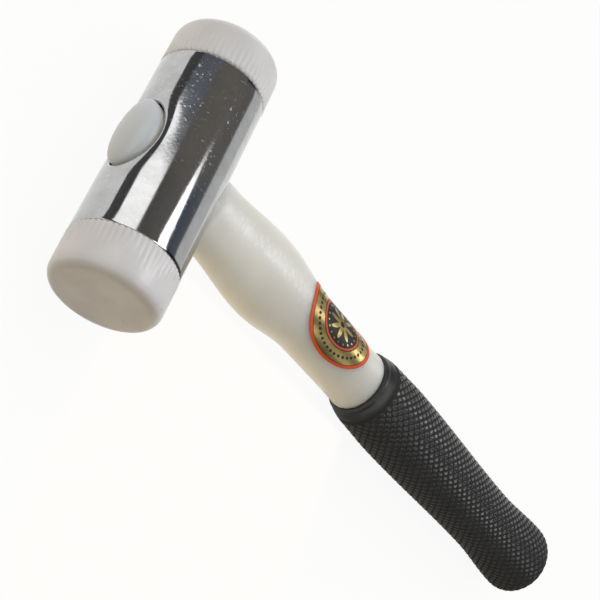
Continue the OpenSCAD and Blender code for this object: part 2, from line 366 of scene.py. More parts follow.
# %% [markdown]
# ### A full face, twice
# Spin with its duplicate option sets the other 59 sectors round the axis, and merging makes them one skin.
# The thread is wound round the spigot and joined to it. The two faces of the hammer are alike and can be
# swapped, so the second is a copy of the first, turned the other way.

# %% Set the sectors round the axis and add the thread
bpy.ops.object.mode_set(mode="EDIT")
bpy.ops.mesh.select_all(action="SELECT")
bpy.ops.mesh.spin(steps=flute_count - 1, dupli=True, angle=2 * math.pi - sector,
                  center=(0, 0, 0), axis=(0, 0, 1))
close_up()
thread = wind_thread("front_thread", core_r + 0.05 * MM, 10 * MM, -spigot_len + 0.8 * MM)
hold(front)
thread.select_set(True)
bpy.ops.object.join()
smooth_by(front, 40)
hold(front)
bpy.ops.object.duplicate()
rear = bpy.context.object
rear.name = rear.data.name = "rear_cap"
lay_down(front, Matrix.Translation((0, -head_half, 0)) @ Matrix.Rotation(math.pi / 2, 4, "X"))
lay_down(rear, Matrix.Translation((0, head_half, 0)) @ Matrix.Rotation(-math.pi / 2, 4, "X"))

# %% [markdown]
# ### The threads in the sockets
# When a face is drawn out, the thread in the head shows. It is wound like the other one, but its crests
# point to the axis, so its faces are flipped to look inwards.

# %% Thread the two sockets
sockets = []
for name, way in (("front_socket_thread", -1), ("rear_socket_thread", 1)):
    thread = wind_thread(name, socket_wall_r - 0.1 * MM, 10.1 * MM, socket_end - head_half + 0.2 * MM)
    thread.data.flip_normals()
    smooth_by(thread, 40)
    lay_down(thread, Matrix.Translation((0, way * head_half, 0))
             @ Matrix.Rotation(-way * math.pi / 2, 4, "X"))
    sockets.append(thread)

# %% [markdown]
# ## The handle
# The handle is one moulding: a dome above the head, an hourglass through the eye, a broad swell under the
# head for the thumb, a neck and a tang inside the grip. All its sections are ovals, so it is lofted, and the
# first cell only works out the width and thickness of each section. From the head to the grip they ease
# from station to station, as a hand-drawn curve would.

# %% Work out the sections of the handle
dome_top = 22.3 * MM
shoulder_x = 118.7 * MM
tang_x = 251.3 * MM
eye_half_w = 13.4 * MM
eye_half_t = 9.1 * MM
eye_draw = 1.4 * MM
eye_gap = 0.05 * MM
side_x = 16.565 * MM
root_x = 22.9 * MM
handle_stations = [(22.9, 14.12, 9.82), (54.5, 16.65, 12.2), (83.7, 12.25, 11.65),
                   (112.7, 12.25, 11.65), (118.7, 12.6, 11.8)]


def along(stations, x):
    """Half width and half thickness at x, eased from station to station; stations are in millimetres."""
    x = x / MM
    if x <= stations[0][0]:
        return stations[0][1] * MM, stations[0][2] * MM
    for a, b in zip(stations, stations[1:]):
        if x < b[0]:
            ease = (1 - math.cos(math.pi * (x - a[0]) / (b[0] - a[0]))) / 2
            return (a[1] + (b[1] - a[1]) * ease) * MM, (a[2] + (b[2] - a[2]) * ease) * MM
    return stations[-1][1] * MM, stations[-1][2] * MM


def in_eye(x):
    """Half width and half thickness in the eye, which is narrowest in the middle of the head."""
    draw = eye_draw * (1 - min(abs(x) / head_r, 1) ** 2) + eye_gap
    return eye_half_w - draw, eye_half_t - draw


sections = []
for k in range(13, 0, -1):
    x = side_x + (dome_top - side_x) * math.sin(math.radians(90 * k / 13.4))
    long = in_eye(x)[0]
    if x > head_r:
        long *= math.sqrt(1 - ((x - head_r) / (dome_top - head_r)) ** 2)
    short = in_eye(side_x)[1] * math.sqrt(1 - ((x - side_x) / (dome_top - side_x)) ** 2)
    sections.append((-x, long, short))
sections += [(side_x * share, *in_eye(side_x * share)) for share in (-1, -0.8, -0.4, 0, 0.4, 0.8, 1)]
sections += [(x * MM, *along(handle_stations, x * MM)) for x in (18.9, 20.9, 22.9)]
sections += [(x, *along(handle_stations, x)) for x in
             [root_x + (shoulder_x - root_x) * k / 34 for k in range(1, 35)]]
sections += [(shoulder_x, 11.8 * MM, 10.8 * MM), (shoulder_x + 1 * MM, 11.8 * MM, 10.8 * MM),
             (tang_x - 6 * MM, 11.2 * MM, 10.2 * MM), (tang_x - 2 * MM, 8.6 * MM, 7.8 * MM),
             (tang_x - 0.3 * MM, 3.4 * MM, 3.2 * MM)]
print(len(sections), "sections")

# %% [markdown]
# ### Lofting with extrude
# A circle is extruded ring by ring along X, and each new ring is resized to its section. This keeps clean
# quads all the way, which a loft between curves would not promise. One level of subdivision smooths it.
# The same helpers serve the grip later, where each ring is also turned a little.

# %% Extrude the handle through its sections


def carry_on(ring, rings, drift=0):
    """Extrude the selected ring along X through more rings of (x, half width, half thickness)."""
    x, w, t = ring
    for next_x, next_w, next_t in rings:
        here = (next_x, 0, 0)
        bpy.ops.mesh.extrude_region_move(TRANSFORM_OT_translate={"value": (next_x - x, 0, 0)})
        bpy.ops.transform.resize(value=(1, MM / w, MM / t), center_override=here)
        if drift:
            bpy.ops.transform.rotate(value=drift, orient_axis="X", center_override=here)
        bpy.ops.transform.resize(value=(1, next_w / MM, next_t / MM), center_override=here)
        x, w, t = next_x, next_w, next_t


def loft(name, rings, around, drift=0):
    """A tube through rings, from a circle with a number of vertices."""
    start_piece()
    bpy.ops.mesh.primitive_circle_add(vertices=around, radius=MM, rotation=(0, math.pi / 2, 0))
    bpy.ops.object.transform_apply(rotation=True)
    piece = name_piece(name)
    x, w, t = rings[0]
    bpy.ops.transform.resize(value=(1, w / MM, t / MM), center_override=(0, 0, 0))
    bpy.ops.transform.translate(value=(x, 0, 0))
    carry_on(rings[0], rings[1:], drift)
    return piece


def draw_to_point(distance):
    """Extrude the selected ring along X and merge it to one vertex."""
    bpy.ops.mesh.extrude_region_move(TRANSFORM_OT_translate={"value": (distance, 0, 0)})
    bpy.ops.mesh.merge(type="CENTER")


handle = loft("handle_body", sections, 48)
for end_x, tip_x in ((sections[0][0], -dome_top), (sections[-1][0], tang_x)):
    pick("EDGE", lambda e: e.is_boundary and all_verts(e, lambda co: abs(co.x - end_x) < TINY))
    draw_to_point(tip_x - end_x)
close_up()
apply_modifier(handle, "SUBSURF", levels=1, render_levels=1)
smooth_by(handle, 60)
lay_down(handle)

# %% [markdown]
# ## The knurled grip
# The rubber sleeve carries a diamond knurl of 27 diamonds round. Bump alone would leave a smooth outline, so
# the knurl is real geometry. It starts as a tube of 27-sided rings. Each ring is turned a little against the
# last one, because the rows of the real knurl drift round the grip.

# %% Extrude the tube under the knurl
knurl_round = 27
knurl_pitch = 3.57 * MM
knurl_depth = 0.3 * MM
knurl_drift = math.radians(1.55)
knurl_start = 124.9 * MM
flare_x = 252.3 * MM
butt_run = 9 * MM
butt_round = 2.2
grip_stations = [(125.7, 15.2, 14.4), (146.65, 16, 14.9), (220.2, 14.45, 13.55), (252.3, 16.2, 15.15)]


def under_knurl(x):
    """Half width and thickness under the knurl, with the rounded butt beyond the flare."""
    w, t = along(grip_stations, x)
    full = max(1 - max((x - flare_x) / butt_run, 0) ** butt_round, 0) ** (1 / butt_round)
    return w * full - knurl_depth, t * full - knurl_depth


knurl_xs = [knurl_start + k * knurl_pitch for k in range(36)]
knurl_xs += [flare_x + share * butt_run for share in (0.06, 0.42, 0.7, 0.87)]
grip = loft("grip_sleeve", [(x, *under_knurl(x)) for x in knurl_xs], knurl_round, knurl_drift)
print(len(knurl_xs), "rings under the knurl")

# %% [markdown]
# ### Diamonds
# Poke puts a point in every quad of the tube, and when the old edges are dissolved, diamonds are left.
# The new points are pushed out to the oval of the section.

# %% Turn the quads into diamonds
bpy.ops.mesh.select_all(action="SELECT")
bpy.ops.mesh.normals_make_consistent(inside=False)
bpy.ops.object.mode_set(mode="OBJECT")
ring_verts = len(grip.data.vertices)
bpy.ops.object.mode_set(mode="EDIT")
bpy.ops.mesh.poke()
shape = bmesh.from_edit_mesh(grip.data)
for v in shape.verts:
    w, t = under_knurl(v.co.x)
    v.co.yz *= 1 / math.hypot(v.co.y / w, v.co.z / t)
bmesh.update_edit_mesh(grip.data)
pick("EDGE", lambda e: not e.is_boundary and all(v.index < ring_verts for v in e.verts))
bpy.ops.mesh.dissolve_edges(use_verts=False)
pick("FACE", lambda f: len(f.verts) == 4)
print(sum(f.select for f in bmesh.from_edit_mesh(grip.data).faces), "diamonds")

# %% [markdown]
# ### Pips
# Insetting every diamond by itself raises it to a pip. The pips are a little longer one way, as on the real
# grip, and sink into the sleeve near the collar. Hands polish the tops, so an attribute named polish is
# written as well, which the rubber's material reads: 1 on the pips, 0 in the grooves.

# %% Raise the pips
knurl_slope = 0.42 * MM
knurl_edge = 0.12 * MM
knurl_fade = 5.5 * MM
pip_stretch = 0.12
dull_from = 210 * MM
dull_run = 50 * MM
bpy.ops.mesh.inset(use_individual=True, thickness=knurl_slope, depth=knurl_depth)
shape = bmesh.from_edit_mesh(grip.data)
polish = shape.verts.layers.float.new("polish")
pips = [f for f in shape.faces if f.select]
for pip in pips:
    middle, outward = pip.calc_center_median(), pip.normal.copy()
    ridge = (Vector((1, 0, 0)) + outward.cross(Vector((1, 0, 0)))).normalized()
    lost = 0.55 * knurl_depth * max(1 - (middle.x - knurl_start) / knurl_fade, 0)
    for v in pip.verts:
        v.co += ridge * (v.co - middle).dot(ridge) * pip_stretch - outward * lost
        v[polish] = 1 - 0.4 * max(middle.x - dull_from, 0) / dull_run
bmesh.update_edit_mesh(grip.data)
bpy.ops.mesh.inset(use_individual=True, thickness=knurl_edge)
print(len(pips), "pips")

# %% [markdown]
# ### Collar and bore
# The sleeve ends in a smooth collar with a small lip that hugs the handle. Its rings carry on from the open
# end of the knurl, turn inwards and run back as the bore that the tang fills, so the sleeve has a real wall.

# %% Add the smooth collar and the bore
collar_polish = 0.68
collar = [(123.4, 14.75, 13.95), (121.9, 14.4, 13.6), (121, 13.95, 13.15), (120.5, 13.85, 13.05),
          (119.9, 13.95, 13.15), (119.3, 13.8, 13), (118.9, 13.45, 12.65), (118.77, 13.15, 12.35),
          (118.77, 12.2, 11.2), (118.9, 12, 11), (120, 12, 11), (245.6, 11.5, 10.5), (249.8, 9, 8.2)]
collar = [(x * MM, w * MM, t * MM) for x, w, t in collar]
pick("EDGE", lambda e: e.is_boundary and all_verts(e, lambda co: co.x < knurl_start + TINY))
carry_on((knurl_start, *under_knurl(knurl_start)), collar)
draw_to_point(tang_x + 0.3 * MM - collar[-1][0])
shape = bmesh.from_edit_mesh(grip.data)
polish = shape.verts.layers.float["polish"]
for v in shape.verts:
    if v.co.x < knurl_start - TINY:
        v[polish] = collar_polish
bmesh.update_edit_mesh(grip.data)
print(len(collar), "rings in the collar and the bore")

# %% [markdown]
# ### Butt
# The far end is closed by a few shrinking rings. Then one level of subdivision rounds all the pips at once,
# like moulded rubber.

# %% Close the butt and finish the grip
butt_x = 261.3 * MM
last_x = knurl_xs[-1]
pick("EDGE", lambda e: e.is_boundary and all_verts(e, lambda co: abs(co.x - last_x) < TINY))
for next_x, shrink in ((last_x + 0.3 * MM, 0.93), (butt_x - 0.35 * MM, 0.8), (butt_x - 0.1 * MM, 0.5)):
    bpy.ops.mesh.extrude_region_move(TRANSFORM_OT_translate={"value": (next_x - last_x, 0, 0)})
    bpy.ops.transform.resize(value=(1, shrink, shrink), center_override=(next_x, 0, 0))
    last_x = next_x
draw_to_point(butt_x - last_x)
close_up()
apply_modifier(grip, "SUBSURF", levels=1, render_levels=1)
smooth_by(grip, 80)
lay_down(grip)

# %% [markdown]
# ## The foil label
# The label is a thin printed oval. It is modelled flat, as it is cut from foil, so that its UV map is simply
# its own length and width. An unwrap of the bent label would distort the print.

# %% Cut the oval and keep its flat plan as UVs
label_half = 18.75 * MM
label_reach = 14 * MM
start_piece()
bpy.ops.mesh.primitive_circle_add(vertices=96, radius=MM, calc_uvs=False)
label = name_piece("label_foil")
bpy.ops.transform.resize(value=(label_half / MM, label_reach / MM, 1))
share = 1
for next_share in (0.97, 0.92, 0.84, 0.74, 0.62, 0.5, 0.38, 0.26, 0.14):
    bpy.ops.mesh.extrude_region_move()
    bpy.ops.transform.resize(value=(next_share / share, next_share / share, 1), center_override=(0, 0, 0))
    share = next_share
draw_to_point(0)
bpy.ops.object.mode_set(mode="OBJECT")
plan = label.data.uv_layers.new(name="plan")
for loop in label.data.loops:
    flat = label.data.vertices[loop.vertex_index].co
    plan.data[loop.index].uv = (0.5 + flat.x / label_half / 2, 0.5 + flat.y / label_reach / 2)
print(len(plan.data), "corners in the plan")

# %% [markdown]
# ### Sticking it on
# The oval is wrapped round the neck by turning the distance across it into an angle, and follows the
# handle's own sections. It sits a little turned, as it was stuck on by hand. Solidify gives it the thickness
# of foil.

# %% Wrap the label round the neck
label_x = 88.24 * MM
label_turn = math.radians(14)
label_lift = 0.08 * MM
neck_r = 11.95 * MM
for v in label.data.vertices:
    x, turn = label_x + v.co.x, label_turn + v.co.y / neck_r
    w, t = along(handle_stations, x)
    v.co = (x, (w + label_lift) * math.sin(turn), (t + label_lift) * math.cos(turn))
bpy.ops.object.mode_set(mode="EDIT")
close_up()
if label.data.polygons[0].normal.z < 0:
    label.data.flip_normals()
apply_modifier(label, "SOLIDIFY", thickness=0.2 * MM, offset=1)
smooth_by(label, 40)
lay_down(label)

# %% [markdown]
# ## Nodes in code
# Materials are node trees, and in code each node and link is a line. The helpers make the nodes that come up
# most, Math, Map Range, Mix and Separate XYZ, and return the output to link on, so that a finish reads
# like a recipe.

# %% Write the node helpers


def add(tree, kind, **settings):
    """A node with some of its settings and input values."""
    node = tree.nodes.new(kind)
    for key, value in settings.items():
        if hasattr(node, key):
            setattr(node, key, value)
        else:
            node.inputs[key.replace("_", " ")].default_value = value
    return node


def feed(tree, socket, value):
    """Link an output to an input, or set the input to a plain value."""
    if isinstance(value, bpy.types.NodeSocket):
        tree.links.new(value, socket)
    else:
        socket.default_value = value


def math_node(tree, operation, *values, clamp=False):
    """One step of arithmetic."""
    node = add(tree, "ShaderNodeMath", operation=operation, use_clamp=clamp)
    for socket, value in zip(node.inputs, values):
        feed(tree, socket, value)
    return node.outputs[0]


def stretch(tree, value, low, high, to_low=0.0, to_high=1.0):
    """Map a value from one range to another, and hold it there."""
    node = add(tree, "ShaderNodeMapRange", From_Min=low, From_Max=high, To_Min=to_low, To_Max=to_high)
    feed(tree, node.inputs["Value"], value)
    return node.outputs["Result"]


def mix_colours(tree, factor, a, b, blend="MIX"):
    """Mix two colours."""
    node = add(tree, "ShaderNodeMix", data_type="RGBA", blend_type=blend)
    for name, value in (("Factor", factor), ("A", a), ("B", b)):
        feed(tree, node.inputs[name], value)
    return node.outputs["Result"]


def parts_of(tree, vector):
    """The X, Y and Z of a place."""
    node = tree.nodes.new("ShaderNodeSeparateXYZ")
    tree.links.new(vector, node.inputs["Vector"])
    return node.outputs


print("node helpers:", math_node.__name__, stretch.__name__, mix_colours.__name__, parts_of.__name__)

# %% [markdown]
# ## Shared finishes
# Two effects come back on several pieces, so they are node groups, built once and given their own values in
# each material. One is a fine grain, for bumps and small marks. The other mottles a colour with broad, faint
# clouds, as no moulded or polished surface is one even colour.

# %% Build the shared groups


def new_group(name, inputs, outputs):
    """An empty shader group with named sockets."""
    group = bpy.data.node_groups.new(name, "ShaderNodeTree")
    for title, kind, value in inputs:
        socket = group.interface.new_socket(title, in_out="INPUT", socket_type=kind)
        socket.default_value = value
    for title, kind in outputs:
        group.interface.new_socket(title, in_out="OUTPUT", socket_type=kind)
    return group, group.nodes.new("NodeGroupInput"), group.nodes.new("NodeGroupOutput")


grain_group, g_in, g_out = new_group(
    "fine_grain", [("Vector", "NodeSocketVector", (0, 0, 0)), ("Scale", "NodeSocketFloat", 800.0),
                   ("Detail", "NodeSocketFloat", 2.0)], [("Height", "NodeSocketFloat")])
noise = add(grain_group, "ShaderNodeTexNoise")
for name in ("Vector", "Scale", "Detail"):
    grain_group.links.new(g_in.outputs[name], noise.inputs[name])
grain_group.links.new(noise.outputs["Fac"], g_out.inputs["Height"])

mottle_group, m_in, m_out = new_group(
    "mottle", [("Vector", "NodeSocketVector", (0, 0, 0)), ("Scale", "NodeSocketFloat", 60.0),
               ("Light", "NodeSocketColor", (1, 1, 1, 1)), ("Dark", "NodeSocketColor", (0.8, 0.8, 0.8, 1))],
    [("Color", "NodeSocketColor"), ("Mask", "NodeSocketFloat")])
cloud = add(mottle_group, "ShaderNodeTexNoise", Detail=4.0, Roughness=0.6)
for name in ("Vector", "Scale"):
    mottle_group.links.new(m_in.outputs[name], cloud.inputs[name])
cloud_mask = stretch(mottle_group, cloud.outputs["Fac"], 0.35, 0.7)
clouded = mix_colours(mottle_group, cloud_mask, m_in.outputs["Light"], m_in.outputs["Dark"])
mottle_group.links.new(clouded, m_out.inputs["Color"])
mottle_group.links.new(cloud_mask, m_out.inputs["Mask"])
print("groups:", grain_group.name, mottle_group.name)

# %% [markdown]
# ### How a finish starts
# Every finish is one Principled BSDF. What is the same all over the piece is set on its own sockets, and
# only what changes over the surface is linked to it. All patterns read Object coordinates, which are metres
# here, because each piece sits at the origin.

# %% Write how a finish starts


def new_finish(name, **shader_values):
    """A material with a Principled BSDF, its coordinates and the values that are the same all over."""
    material = bpy.data.materials.new(name)
    material.use_nodes = True
    tree = material.node_tree
    shader = tree.nodes["Principled BSDF"]
    for key, value in shader_values.items():
        shader.inputs[key.replace("_", " ")].default_value = value
    return material, tree, shader, tree.nodes.new("ShaderNodeTexCoord").outputs


def use_group(tree, group, vector, **values):
    """A shared group in a material, with its own values."""
    node = add(tree, "ShaderNodeGroup", node_tree=group)
    tree.links.new(vector, node.inputs["Vector"])
    for key, value in values.items():
        node.inputs[key].default_value = value
    return node.outputs


def bump(tree, shader, height, strength, distance):
    """Let a height tilt the surface's normal."""
    node = add(tree, "ShaderNodeBump", Strength=strength, Distance=distance)
    tree.links.new(height, node.inputs["Height"])
    tree.links.new(node.outputs["Normal"], shader.inputs["Normal"])


def dress(piece, material):
    """Give a piece one material."""
    piece.data.materials.clear()
    piece.data.materials.append(material)


print("finish helpers:", new_finish.__name__, use_group.__name__, bump.__name__, dress.__name__)

# %% [markdown]
# ### Chrome
# The plating is old and handled, so it reflects only about half of the light, through a faint film that
# comes in clouds. Small pale scuffs lie in clusters, more of them towards the rear face, as one end of such
# a head wears faster. Scuffs are a threshold of fine noise times the clusters' mask: round dots from a
# Voronoi texture would look printed.

# %% Make the film and the scuffs of the chrome
chrome, tree, shader, place = new_finish("chrome_plate", Metallic=1.0)
film = use_group(tree, mottle_group, place["Object"], Scale=160.0,
                 Light=(0.52, 0.52, 0.525, 1), Dark=(0.45, 0.448, 0.44, 1))
worn = stretch(tree, parts_of(tree, place["Object"])["Y"], -22 * MM, 12 * MM, 0.3)
clusters = use_group(tree, mottle_group, place["Object"], Scale=120.0)
marks = use_group(tree, grain_group, place["Object"], Scale=850.0, Detail=2.0)
fleck = stretch(tree, marks["Height"], 0.61, 0.74)
scuff = math_node(tree, "MULTIPLY", fleck, math_node(tree, "MULTIPLY", clusters["Mask"], worn))
scuffed = mix_colours(tree, scuff, film["Color"], (0.82, 0.87, 0.93, 1))
tree.links.new(scuffed, shader.inputs["Base Color"])
print(chrome.name, "has", len(tree.nodes), "nodes so far")

# %% [markdown]
# ### Gloss of the chrome
# A weak bump gives the plating the orange peel of polished castings, and the scuffs sink into it. The film
# makes it slightly dull in clouds, and a scuff is duller still. Pure mirror chrome would look like a toy.

# %% Make the chrome's gloss and dress the head and its sockets
peel = use_group(tree, grain_group, place["Object"], Scale=1100.0, Detail=3.0)
height = math_node(tree, "SUBTRACT", math_node(tree, "MULTIPLY", peel["Height"], worn),
                   math_node(tree, "MULTIPLY", scuff, 0.6))
bump(tree, shader, height, 0.1, 0.1 * MM)
dull = stretch(tree, film["Mask"], 0, 1, 0.05, 0.12)
etched = math_node(tree, "MULTIPLY", scuff, 0.45)
tree.links.new(math_node(tree, "ADD", dull, etched), shader.inputs["Roughness"])
for piece in (head, *sockets):
    dress(piece, chrome)
print("chrome on", head.name, "and", len(sockets), "sockets")

# %% [markdown]
# ### Nylon
# Nylon is milky: light enters, scatters and leaves again a few millimetres away. Subsurface scattering gives
# that soft look, but only in part, or the flutes would drown in it. The struck ends are darker and warmer,
# partly grime and partly painted shade of the end face, which faces away from the light. A mask along the
# head's axis brings that in, and a few faint specks sit on the side of the rims.

# %% Make the nylon
nylon, tree, shader, place = new_finish("milky_nylon", Subsurface_Weight=0.35, Subsurface_Scale=3 * MM,
                                        Subsurface_Radius=(1.0, 0.85, 0.75), IOR=1.53)
clouds = use_group(tree, mottle_group, place["Object"], Scale=70.0,
                   Light=(0.765, 0.737, 0.717, 1), Dark=(0.705, 0.672, 0.648, 1))
# painted shade in part: the struck ends are darker and warmer, partly grime and partly the shade of the end
# face
end_dirt_and_shade = use_group(tree, mottle_group, place["Object"], Scale=110.0,
                 Light=(0.555, 0.5, 0.43, 1), Dark=(0.49, 0.435, 0.37, 1))
spot = parts_of(tree, place["Object"])
struck = stretch(tree, math_node(tree, "ABSOLUTE", spot["Y"]), 50 * MM, 51.8 * MM)
soiled_and_shaded = mix_colours(tree, struck, clouds["Color"], end_dirt_and_shade["Color"])
flecks = use_group(tree, grain_group, place["Object"], Scale=330.0, Detail=2.0)
speck = math_node(tree, "MULTIPLY", stretch(tree, flecks["Height"], 0.68, 0.76),
                  stretch(tree, spot["X"], -118 * MM, -110 * MM))
specked = mix_colours(tree, speck, soiled_and_shaded, (0.42, 0.37, 0.3, 1))
tree.links.new(specked, shader.inputs["Base Color"])
grain = use_group(tree, grain_group, place["Object"], Scale=1500.0, Detail=3.0)
bump(tree, shader, grain["Height"], 0.08, 0.1 * MM)
tree.links.new(stretch(tree, clouds["Mask"], 0, 1, 0.32, 0.44), shader.inputs["Roughness"])
for piece in (front, rear):
    dress(piece, nylon)
print("nylon on", front.name, "and", rear.name)

# %% [markdown]
# ### Handle plastic
# The handle is a softer, thicker plastic, through which light travels further, so its scattering is full and
# its radius larger. The dome is painted greyer and bluer, a painted shade, as it faces away from the light.
# On the top of the swell, where the highlight lies, short pale streaks are painted across the handle, a
# painted
# highlight on fine scratches: a fine grain whose coordinates a Mapping node squeezes, kept to that place by
# two masks.

# %% Make the handle plastic
milky, tree, shader, place = new_finish("milky_handle", Subsurface_Weight=1.0, Subsurface_Scale=16 * MM,
                                        Subsurface_Radius=(1.0, 0.9, 0.75), IOR=1.5)
clouds = use_group(tree, mottle_group, place["Object"], Scale=45.0,
                   Light=(0.745, 0.725, 0.655, 1), Dark=(0.685, 0.66, 0.58, 1))
spot = parts_of(tree, place["Object"])
# painted shade: the dome is greyer and bluer, as it faces away from the light
at_dome = stretch(tree, spot["X"], -134 * MM, -137 * MM)
dome_shaded = mix_colours(tree, at_dome, clouds["Color"], (0.62, 0.635, 0.64, 1))
# painted highlight: pale streaks on fine scratches along the top of the swell, where the highlight lies
across = add(tree, "ShaderNodeMapping", Scale=(1, 0.4, 0.4))
tree.links.new(place["Object"], across.inputs["Vector"])
scratch_grain = use_group(tree, grain_group, across.outputs["Vector"], Scale=1000.0, Detail=3.0)
on_top = stretch(tree, math_node(tree, "ABSOLUTE", spot["Y"]), 6 * MM, 2 * MM)
from_swell = math_node(tree, "ABSOLUTE", math_node(tree, "ADD", spot["X"], 68 * MM))
on_swell = stretch(tree, from_swell, 42 * MM, 22 * MM)
scratch_highlight = math_node(tree, "MULTIPLY", math_node(tree, "MULTIPLY", on_top, on_swell),
                   stretch(tree, scratch_grain["Height"], 0.5, 0.75))
highlight_streaked = mix_colours(tree, scratch_highlight, dome_shaded, (0.83, 0.85, 0.85, 1))
tree.links.new(highlight_streaked, shader.inputs["Base Color"])
grain = use_group(tree, grain_group, place["Object"], Scale=300.0, Detail=3.0)
bump(tree, shader, grain["Height"], 0.1, 0.2 * MM)
tree.links.new(stretch(tree, clouds["Mask"], 0, 1, 0.32, 0.45), shader.inputs["Roughness"])
dress(handle, milky)
print("handle plastic has", len(tree.nodes), "nodes")

# %% [markdown]
# ### Rubber
# The grip is black rubber. Its grooves are dull, and the tops of the pips are polished by hands. The polish
# attribute from the mesh makes the tops smoother and gives them a thin coat, as grease does, so the knurl
# reads clearly from every side.

# %% Make the rubber
rubber, tree, shader, place = new_finish("black_rubber", IOR=1.5, Specular_IOR_Level=0.22,
                                         Coat_IOR=1.45, Coat_Roughness=0.33)
clouds = use_group(tree, mottle_group, place["Object"], Scale=80.0,
                   Light=(0.017, 0.017, 0.017, 1), Dark=(0.024, 0.023, 0.02, 1))
tree.links.new(clouds["Color"], shader.inputs["Base Color"])
grain = use_group(tree, grain_group, place["Object"], Scale=1200.0, Detail=3.0)
bump(tree, shader, grain["Height"], 0.05, 0.1 * MM)
polished = add(tree, "ShaderNodeAttribute", attribute_name="polish").outputs["Fac"]
tree.links.new(stretch(tree, polished, 0.3, 0.9, 0, 0.75), shader.inputs["Coat Weight"])
satin = stretch(tree, polished, 0.3, 0.9, 0.75, 0.22)
uneven = math_node(tree, "MULTIPLY", clouds["Mask"], 0.06)
tree.links.new(math_node(tree, "ADD", satin, uneven), shader.inputs["Roughness"])
dress(grip, rubber)
print("rubber on", grip.name)

# %% [markdown]
# ### Foil print
# The label is gold foil with black and orange ink. Its print is drawn by arithmetic on the flat plan: how
# far out a spot lies, as a share of the oval, and at which angle. Rings, beads and a rosette of eight petals
# are all masks of these two. That stays sharp at any distance, which a painted picture would not.

# %% Lay out the foil print
foil, tree, shader, place = new_finish("foil_print", Specular_IOR_Level=0.3)
spot = parts_of(tree, place["UV"])
across = math_node(tree, "MULTIPLY_ADD", spot["X"], 2.0, -1.0)
up = math_node(tree, "MULTIPLY_ADD", spot["Y"], 2.0, -1.0)


def square_sum(a, b):
    """The sum of two squares."""
    return math_node(tree, "ADD", math_node(tree, "MULTIPLY", a, a), math_node(tree, "MULTIPLY", b, b))


out = math_node(tree, "SQRT", square_sum(across, up))
turn = math_node(tree, "ARCTAN2", up, across)


def ring(low, high):
    """A mask that is 1 between two shares of the oval."""
    return math_node(tree, "MULTIPLY", math_node(tree, "GREATER_THAN", out, low),
                     math_node(tree, "LESS_THAN", out, high))


def beads(count, middle, size):
    """A mask of round beads in a ring round the oval."""
    step = math_node(tree, "MULTIPLY", turn, count / (2 * math.pi))
    off = math_node(tree, "SUBTRACT", math_node(tree, "FRACT", step), 0.5)
    along_ring = math_node(tree, "MULTIPLY", off, 2 * math.pi * middle / count)
    from_ring = math_node(tree, "SUBTRACT", out, middle)
    return math_node(tree, "LESS_THAN", square_sum(along_ring, from_ring), size * size)


wave = math_node(tree, "COSINE", math_node(tree, "MULTIPLY", turn, 8.0))
petal = math_node(tree, "MULTIPLY_ADD", wave, 0.13, 0.26)
rosette = math_node(tree, "MULTIPLY", math_node(tree, "LESS_THAN", out, petal),
                    math_node(tree, "GREATER_THAN", out, 0.07))
gold_field = math_node(tree, "SUBTRACT", ring(0.6, 0.905), beads(40, 0.745, 0.038))
gold_flower = math_node(tree, "ADD", gold_field, rosette)
gold = math_node(tree, "ADD", gold_flower, beads(20, 0.455, 0.024), clamp=True)
orange = math_node(tree, "ADD", ring(0.92, 2.0), ring(0.53, 0.575), clamp=True)
print("the print takes", len(tree.nodes), "nodes")

# %% [markdown]
# ### Ink
# Gold is the metal of the foil itself, so its mask also drives Metallic and makes it smoother. The black and
# the orange are ink on top of it, with a satin gloss.

# %% Ink the foil print
inked = mix_colours(tree, orange, (0.02, 0.018, 0.018, 1), (0.74, 0.078, 0.001, 1))
sheen = use_group(tree, mottle_group, place["Object"], Scale=140.0,
                  Light=(0.64, 0.5, 0.2, 1), Dark=(0.46, 0.35, 0.13, 1))
tree.links.new(mix_colours(tree, gold, inked, sheen["Color"]), shader.inputs["Base Color"])
tree.links.new(gold, shader.inputs["Metallic"])
tree.links.new(stretch(tree, gold, 0, 1, 0.42, 0.28), shader.inputs["Roughness"])
grain = use_group(tree, grain_group, place["Object"], Scale=900.0, Detail=2.0)
bump(tree, shader, grain["Height"], 0.12, 0.1 * MM)
dress(label, foil)
print("foil on", label.name)

# %% [markdown]
# ## Bodies
# On the real hammer only the two faces come off. Each piece rides on the body that carries it and stands for
# its CAD node, so it moves with that body in every pose. The threads in the sockets are extra detail of the
# head, and stand for no node.

# %% Tie the pieces to the frame
for piece, body, node, slot in ((head, "hammer", "head_body", "head_metal"),
                                (handle, "hammer", "handle", "handle_plastic"),
                                (grip, "hammer", "grip", "grip_rubber"),
                                (label, "hammer", "label", "label_foil"),
                                (front, "front_face", "front_face", "nylon"),
                                (rear, "rear_face", "rear_face", "nylon")):
    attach(piece, body)
    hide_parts(node)
    print(piece.name, "rides on", body)
for thread in sockets:
    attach(thread, "hammer")

# %% [markdown]
# ## Camera
# The camera was fitted to the outline of the head and the handle in the photograph. It is given in the
# hammer's own frame, by its place and two of its axes, and is laid down with the hammer.

# %% Set up the camera
camera_at = Vector((-200.976, -227.915, 292.714)) * MM
right = Vector((0.53371, 0.33983, 0.77438))
down = Vector((0.60195, -0.79583, -0.06562))
forward = right.cross(-down).normalized() * -1
axes = Matrix((right, -down, -forward)).transposed().to_4x4()
camera = bpy.data.objects.new("camera", bpy.data.cameras.new("camera"))
bpy.context.scene.collection.objects.link(camera)
camera.data.lens = 78.66
camera.data.sensor_width = 36
camera.data.clip_start = 0.01
camera.matrix_world = lying @ Matrix.Translation(camera_at) @ axes
bpy.context.scene.camera = camera
print("camera looks along", [round(c, 3) for c in forward])

